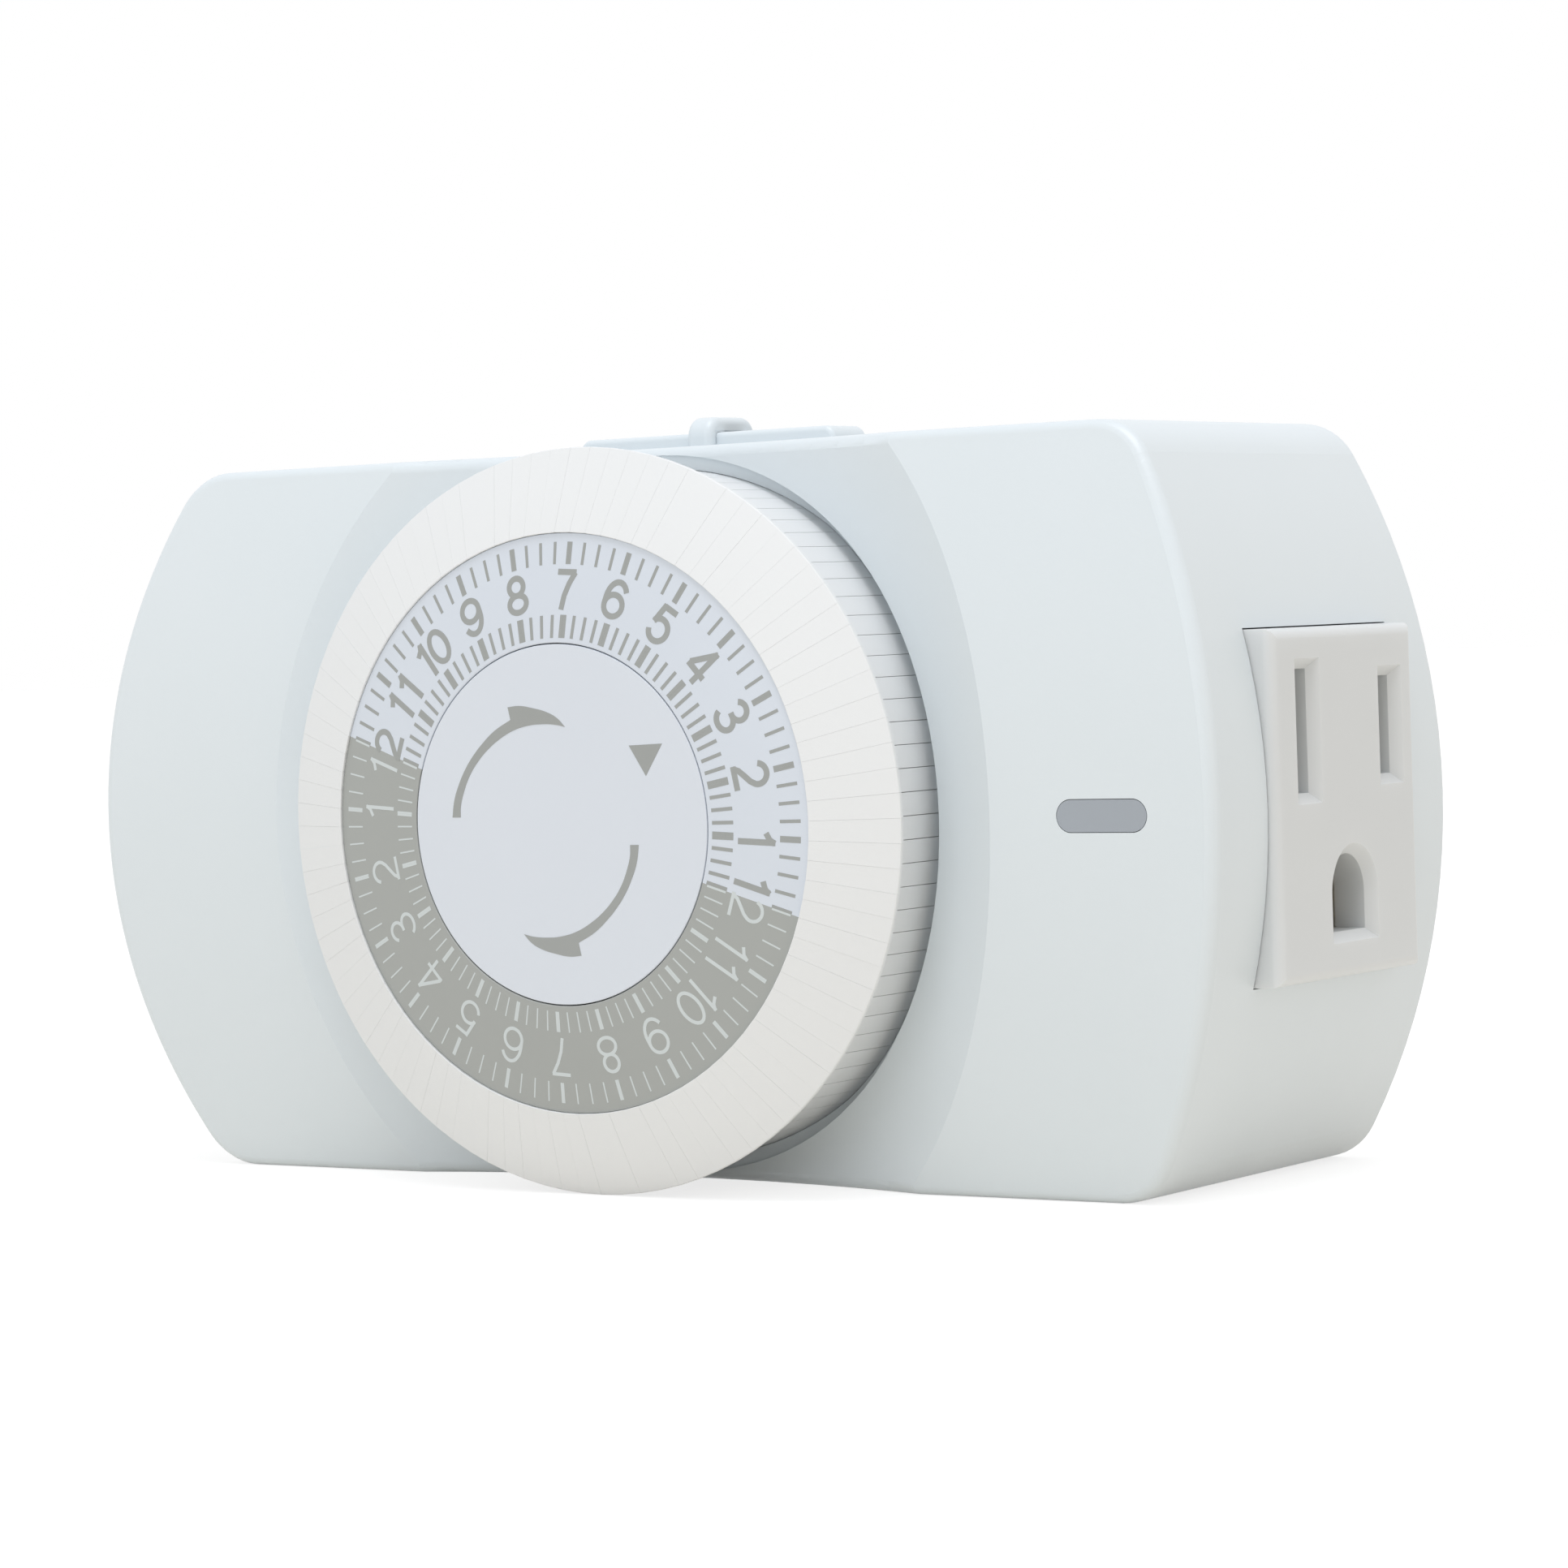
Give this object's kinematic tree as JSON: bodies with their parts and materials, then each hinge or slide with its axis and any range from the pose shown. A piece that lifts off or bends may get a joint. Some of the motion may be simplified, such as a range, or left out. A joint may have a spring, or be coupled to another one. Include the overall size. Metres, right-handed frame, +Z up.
{
  "type": "plug in timer switch",
  "caption": "White mechanical plug-in timer with a round dial of push tabs, a printed hour disc, a slide switch on top, an outlet in each end and a grounded plug on the back.",
  "frame": {"origin": "centre of the flat back that lies against the wall, behind the dial's axis", "axes": "+X right and +Z up seen from the front; +Y into the wall, so the dial faces -Y"},
  "size_m": [0.1044, 0.0625, 0.0584],
  "materials": {
    "housing_plastic": "fine satin moulded ABS, cool white",
    "outlet_plastic": "fine satin moulded thermoplastic, white",
    "cover_plastic": "fine satin moulded ABS, cool white",
    "tab_nylon": "slightly translucent natural nylon",
    "disc_plastic": "smooth white sheet",
    "printed_disc": "smooth white disc, half of it printed grey",
    "wheel_plastic": "moulded acetal, white",
    "gear_plastic": "moulded acetal, natural",
    "lens_plastic": "smoky grey translucent lens",
    "blade_brass": "formed sheet brass",
    "pin_brass": "turned or folded brass",
    "bus_brass": "stamped sheet brass",
    "steel": "zinc-plated steel",
    "motor_can": "drawn and plated steel can",
    "plate_plastic": "moulded plastic",
    "switch_plastic": "black phenolic",
    "plunger_plastic": "red acetal",
    "lamp_glass": "small glass neon lamp",
    "resistor_body": "lacquered ceramic"
  },
  "bodies": {
    "housing": {"front_housing": "housing_plastic", "rear_cover": "cover_plastic", "cover_screws": "steel", "outlet_face_right": "outlet_plastic", "outlet_face_left": "outlet_plastic", "neutral_bus": "bus_brass", "line_bus": "bus_brass", "switched_bus": "bus_brass", "ground_bus": "bus_brass", "neutral_blade": "blade_brass", "line_blade": "blade_brass", "ground_pin": "pin_brass", "mechanism_plate": "plate_plastic", "motor": "motor_can", "gear_pin": "steel", "dial_post": "steel", "centre_disc": "disc_plastic", "lever_pin": "steel", "snap_switch": "switch_plastic", "lamp_lens": "lens_plastic", "lamp": "lamp_glass", "resistor": "resistor_body"},
    "dial": {"dial_wheel": "wheel_plastic", "number_disc": "printed_disc"},
    "reducer": {"reduction_gear": "gear_plastic"},
    "pinion": {"motor_pinion": "gear_plastic"},
    "slider": {"switch_knob": "housing_plastic", "override_slider": "plate_plastic"},
    "lever": {"trip_lever": "plate_plastic"},
    "plunger": {"switch_plunger": "plunger_plastic"},
    "tabs_hour_00": {"tabs_hour_00": "tab_nylon"},
    "tabs_hour_01": {"tabs_hour_01": "tab_nylon"},
    "tabs_hour_02": {"tabs_hour_02": "tab_nylon"},
    "tabs_hour_03": {"tabs_hour_03": "tab_nylon"},
    "tabs_hour_04": {"tabs_hour_04": "tab_nylon"},
    "tabs_hour_05": {"tabs_hour_05": "tab_nylon"},
    "tabs_hour_06": {"tabs_hour_06": "tab_nylon"},
    "tabs_hour_07": {"tabs_hour_07": "tab_nylon"},
    "tabs_hour_08": {"tabs_hour_08": "tab_nylon"},
    "tabs_hour_09": {"tabs_hour_09": "tab_nylon"},
    "tabs_hour_10": {"tabs_hour_10": "tab_nylon"},
    "tabs_hour_11": {"tabs_hour_11": "tab_nylon"},
    "tabs_hour_12": {"tabs_hour_12": "tab_nylon"},
    "tabs_hour_13": {"tabs_hour_13": "tab_nylon"},
    "tabs_hour_14": {"tabs_hour_14": "tab_nylon"},
    "tabs_hour_15": {"tabs_hour_15": "tab_nylon"},
    "tabs_hour_16": {"tabs_hour_16": "tab_nylon"},
    "tabs_hour_17": {"tabs_hour_17": "tab_nylon"},
    "tabs_hour_18": {"tabs_hour_18": "tab_nylon"},
    "tabs_hour_19": {"tabs_hour_19": "tab_nylon"},
    "tabs_hour_20": {"tabs_hour_20": "tab_nylon"},
    "tabs_hour_21": {"tabs_hour_21": "tab_nylon"},
    "tabs_hour_22": {"tabs_hour_22": "tab_nylon"},
    "tabs_hour_23": {"tabs_hour_23": "tab_nylon"}
  },
  "joints": [
    {"name": "dial_spin", "type": "hinge", "parent": "housing", "child": "dial", "pos_m": [0, -0.03, 0], "axis": [0, 1, 0], "continuous": true},
    {"name": "reducer_spin", "type": "hinge", "parent": "housing", "child": "reducer", "pos_m": [-0.0175, -0.0225, 0], "axis": [0, 1, 0], "continuous": true},
    {"name": "pinion_spin", "type": "hinge", "parent": "housing", "child": "pinion", "pos_m": [-0.00866, -0.021, -0.00884], "axis": [0, 1, 0], "continuous": true},
    {"name": "tabs_hour_00_push", "type": "slide", "parent": "dial", "child": "tabs_hour_00", "axis": [0, 1, 0], "range_m": [0, 0.0025]},
    {"name": "tabs_hour_01_push", "type": "slide", "parent": "dial", "child": "tabs_hour_01", "axis": [0, 1, 0], "range_m": [0, 0.0025]},
    {"name": "tabs_hour_02_push", "type": "slide", "parent": "dial", "child": "tabs_hour_02", "axis": [0, 1, 0], "range_m": [0, 0.0025]},
    {"name": "tabs_hour_03_push", "type": "slide", "parent": "dial", "child": "tabs_hour_03", "axis": [0, 1, 0], "range_m": [0, 0.0025]},
    {"name": "tabs_hour_04_push", "type": "slide", "parent": "dial", "child": "tabs_hour_04", "axis": [0, 1, 0], "range_m": [0, 0.0025]},
    {"name": "tabs_hour_05_push", "type": "slide", "parent": "dial", "child": "tabs_hour_05", "axis": [0, 1, 0], "range_m": [0, 0.0025]},
    {"name": "tabs_hour_06_push", "type": "slide", "parent": "dial", "child": "tabs_hour_06", "axis": [0, 1, 0], "range_m": [0, 0.0025]},
    {"name": "tabs_hour_07_push", "type": "slide", "parent": "dial", "child": "tabs_hour_07", "axis": [0, 1, 0], "range_m": [0, 0.0025]},
    {"name": "tabs_hour_08_push", "type": "slide", "parent": "dial", "child": "tabs_hour_08", "axis": [0, 1, 0], "range_m": [0, 0.0025]},
    {"name": "tabs_hour_09_push", "type": "slide", "parent": "dial", "child": "tabs_hour_09", "axis": [0, 1, 0], "range_m": [0, 0.0025]},
    {"name": "tabs_hour_10_push", "type": "slide", "parent": "dial", "child": "tabs_hour_10", "axis": [0, 1, 0], "range_m": [0, 0.0025]},
    {"name": "tabs_hour_11_push", "type": "slide", "parent": "dial", "child": "tabs_hour_11", "axis": [0, 1, 0], "range_m": [0, 0.0025]},
    {"name": "tabs_hour_12_push", "type": "slide", "parent": "dial", "child": "tabs_hour_12", "axis": [0, 1, 0], "range_m": [0, 0.0025]},
    {"name": "tabs_hour_13_push", "type": "slide", "parent": "dial", "child": "tabs_hour_13", "axis": [0, 1, 0], "range_m": [0, 0.0025]},
    {"name": "tabs_hour_14_push", "type": "slide", "parent": "dial", "child": "tabs_hour_14", "axis": [0, 1, 0], "range_m": [0, 0.0025]},
    {"name": "tabs_hour_15_push", "type": "slide", "parent": "dial", "child": "tabs_hour_15", "axis": [0, 1, 0], "range_m": [0, 0.0025]},
    {"name": "tabs_hour_16_push", "type": "slide", "parent": "dial", "child": "tabs_hour_16", "axis": [0, 1, 0], "range_m": [0, 0.0025]},
    {"name": "tabs_hour_17_push", "type": "slide", "parent": "dial", "child": "tabs_hour_17", "axis": [0, 1, 0], "range_m": [0, 0.0025]},
    {"name": "tabs_hour_18_push", "type": "slide", "parent": "dial", "child": "tabs_hour_18", "axis": [0, 1, 0], "range_m": [0, 0.0025]},
    {"name": "tabs_hour_19_push", "type": "slide", "parent": "dial", "child": "tabs_hour_19", "axis": [0, 1, 0], "range_m": [0, 0.0025]},
    {"name": "tabs_hour_20_push", "type": "slide", "parent": "dial", "child": "tabs_hour_20", "axis": [0, 1, 0], "range_m": [0, 0.0025]},
    {"name": "tabs_hour_21_push", "type": "slide", "parent": "dial", "child": "tabs_hour_21", "axis": [0, 1, 0], "range_m": [0, 0.0025]},
    {"name": "tabs_hour_22_push", "type": "slide", "parent": "dial", "child": "tabs_hour_22", "axis": [0, 1, 0], "range_m": [0, 0.0025]},
    {"name": "tabs_hour_23_push", "type": "slide", "parent": "dial", "child": "tabs_hour_23", "axis": [0, 1, 0], "range_m": [0, 0.0025]},
    {"name": "slider_travel", "type": "slide", "parent": "housing", "child": "slider", "axis": [1, 0, 0], "range_m": [0, 0.004]},
    {"name": "lever_tilt", "type": "hinge", "parent": "housing", "child": "lever", "pos_m": [0.0173, -0.0216, 0], "axis": [0, 0, 1], "range_deg": [0, 12], "stiffness_Nm_per_rad": 0.02, "springref_deg": -5.73},
    {"name": "plunger_press", "type": "slide", "parent": "housing", "child": "plunger", "axis": [0, 1, 0], "range_m": [0, 0.0013]}
  ],
  "couplings": [
    {"joint": "reducer_spin", "follows": "dial_spin", "ratio": -6},
    {"joint": "pinion_spin", "follows": "dial_spin", "ratio": 24},
    {"joint": "plunger_press", "follows": "lever_tilt", "m_per_rad": 0.006}
  ]
}
